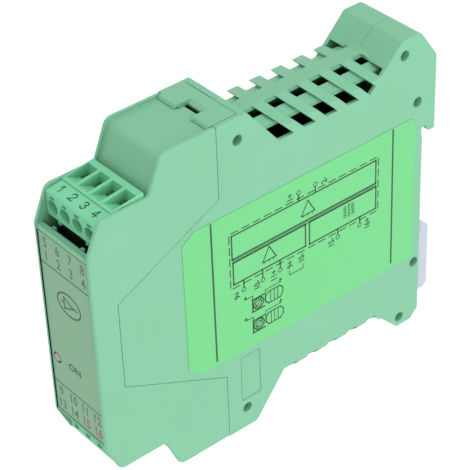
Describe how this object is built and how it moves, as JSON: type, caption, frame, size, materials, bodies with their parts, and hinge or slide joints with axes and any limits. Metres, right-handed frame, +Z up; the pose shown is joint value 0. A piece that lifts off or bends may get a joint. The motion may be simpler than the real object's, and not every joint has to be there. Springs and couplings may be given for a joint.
{
  "type": "signal isolator",
  "caption": "Slim plastic signal isolator module that snaps on a mounting rail, with louvred vents, plug-in screw terminals and a sprung rail latch.",
  "frame": {"origin": "middle of the seat that lies against the mounting rail, at mid-width and at the height of the rail's axis", "axes": "+X across the width towards the labelled side, -Y towards the front label, +Z up as mounted on a level rail"},
  "size_m": [0.0227, 0.1153, 0.1],
  "materials": {
    "housing": "moulded, fine satin texture",
    "plug": "moulded, satin",
    "front_print": "printed film",
    "side_print": "printed film",
    "latch": "moulded, satin",
    "spring_steel": "drawn wire",
    "board": "solder mask",
    "black_plastic": "moulded",
    "tinned_metal": "tin plated",
    "ferrite": "sintered",
    "winding": "taped winding",
    "capacitor_sleeve": "shrink sleeve",
    "led_plastic": "frosted",
    "contact_brass": "plated",
    "screw_steel": "zinc plated"
  },
  "bodies": {
    "housing": {"front_cover": "housing", "right_shell": "housing", "left_shell": "housing", "front_label": "front_print", "side_label": "side_print", "latch_spring": "spring_steel", "circuit_board": "board", "top_header": "black_plastic", "bottom_header": "black_plastic", "top_header_pins": "tinned_metal", "bottom_header_pins": "tinned_metal", "transformer_core": "ferrite", "transformer_coil": "winding", "isolation_chip": "black_plastic", "amplifier_chips": "black_plastic", "filter_capacitors": "capacitor_sleeve", "power_led": "led_plastic", "led_leads": "tinned_metal", "top_plug": "plug", "bottom_plug": "plug", "top_contacts": "contact_brass", "bottom_contacts": "contact_brass"},
    "latch": {"din_latch": "latch"},
    "top_screw_1": {"top_screw_1": "screw_steel"},
    "top_cage_1": {"top_cage_1": "contact_brass"},
    "top_screw_2": {"top_screw_2": "screw_steel"},
    "top_cage_2": {"top_cage_2": "contact_brass"},
    "top_screw_3": {"top_screw_3": "screw_steel"},
    "top_cage_3": {"top_cage_3": "contact_brass"},
    "top_screw_4": {"top_screw_4": "screw_steel"},
    "top_cage_4": {"top_cage_4": "contact_brass"},
    "bottom_screw_1": {"bottom_screw_1": "screw_steel"},
    "bottom_cage_1": {"bottom_cage_1": "contact_brass"},
    "bottom_screw_2": {"bottom_screw_2": "screw_steel"},
    "bottom_cage_2": {"bottom_cage_2": "contact_brass"},
    "bottom_screw_3": {"bottom_screw_3": "screw_steel"},
    "bottom_cage_3": {"bottom_cage_3": "contact_brass"},
    "bottom_screw_4": {"bottom_screw_4": "screw_steel"},
    "bottom_cage_4": {"bottom_cage_4": "contact_brass"}
  },
  "joints": [
    {"name": "latch_slide", "type": "slide", "parent": "housing", "child": "latch", "axis": [0, 0, -1], "range_m": [0, 0.0045], "stiffness_N_per_m": 1200, "springref_m": -0.004, "deforming": ["latch_spring"]},
    {"name": "top_screw_1_turn", "type": "hinge", "parent": "housing", "child": "top_screw_1", "pos_m": [-0.0075, -0.105, 0.0342], "axis": [0, 1, 0], "range_deg": [0, 1440]},
    {"name": "top_cage_1_slide", "type": "slide", "parent": "housing", "child": "top_cage_1", "axis": [0, -1, 0], "range_m": [0, 0.002]},
    {"name": "top_screw_2_turn", "type": "hinge", "parent": "housing", "child": "top_screw_2", "pos_m": [-0.0025, -0.105, 0.0342], "axis": [0, 1, 0], "range_deg": [0, 1440]},
    {"name": "top_cage_2_slide", "type": "slide", "parent": "housing", "child": "top_cage_2", "axis": [0, -1, 0], "range_m": [0, 0.002]},
    {"name": "top_screw_3_turn", "type": "hinge", "parent": "housing", "child": "top_screw_3", "pos_m": [0.0025, -0.105, 0.0342], "axis": [0, 1, 0], "range_deg": [0, 1440]},
    {"name": "top_cage_3_slide", "type": "slide", "parent": "housing", "child": "top_cage_3", "axis": [0, -1, 0], "range_m": [0, 0.002]},
    {"name": "top_screw_4_turn", "type": "hinge", "parent": "housing", "child": "top_screw_4", "pos_m": [0.0075, -0.105, 0.0342], "axis": [0, 1, 0], "range_deg": [0, 1440]},
    {"name": "top_cage_4_slide", "type": "slide", "parent": "housing", "child": "top_cage_4", "axis": [0, -1, 0], "range_m": [0, 0.002]},
    {"name": "bottom_screw_1_turn", "type": "hinge", "parent": "housing", "child": "bottom_screw_1", "pos_m": [-0.0075, -0.105, -0.0342], "axis": [0, 1, 0], "range_deg": [0, 1440]},
    {"name": "bottom_cage_1_slide", "type": "slide", "parent": "housing", "child": "bottom_cage_1", "axis": [0, -1, 0], "range_m": [0, 0.002]},
    {"name": "bottom_screw_2_turn", "type": "hinge", "parent": "housing", "child": "bottom_screw_2", "pos_m": [-0.0025, -0.105, -0.0342], "axis": [0, 1, 0], "range_deg": [0, 1440]},
    {"name": "bottom_cage_2_slide", "type": "slide", "parent": "housing", "child": "bottom_cage_2", "axis": [0, -1, 0], "range_m": [0, 0.002]},
    {"name": "bottom_screw_3_turn", "type": "hinge", "parent": "housing", "child": "bottom_screw_3", "pos_m": [0.0025, -0.105, -0.0342], "axis": [0, 1, 0], "range_deg": [0, 1440]},
    {"name": "bottom_cage_3_slide", "type": "slide", "parent": "housing", "child": "bottom_cage_3", "axis": [0, -1, 0], "range_m": [0, 0.002]},
    {"name": "bottom_screw_4_turn", "type": "hinge", "parent": "housing", "child": "bottom_screw_4", "pos_m": [0.0075, -0.105, -0.0342], "axis": [0, 1, 0], "range_deg": [0, 1440]},
    {"name": "bottom_cage_4_slide", "type": "slide", "parent": "housing", "child": "bottom_cage_4", "axis": [0, -1, 0], "range_m": [0, 0.002]}
  ],
  "couplings": [
    {"joint": "top_screw_1_turn", "follows": "top_cage_1_slide", "rad_per_m": 12566},
    {"joint": "top_screw_2_turn", "follows": "top_cage_2_slide", "rad_per_m": 12566},
    {"joint": "top_screw_3_turn", "follows": "top_cage_3_slide", "rad_per_m": 12566},
    {"joint": "top_screw_4_turn", "follows": "top_cage_4_slide", "rad_per_m": 12566},
    {"joint": "bottom_screw_1_turn", "follows": "bottom_cage_1_slide", "rad_per_m": 12566},
    {"joint": "bottom_screw_2_turn", "follows": "bottom_cage_2_slide", "rad_per_m": 12566},
    {"joint": "bottom_screw_3_turn", "follows": "bottom_cage_3_slide", "rad_per_m": 12566},
    {"joint": "bottom_screw_4_turn", "follows": "bottom_cage_4_slide", "rad_per_m": 12566}
  ]
}
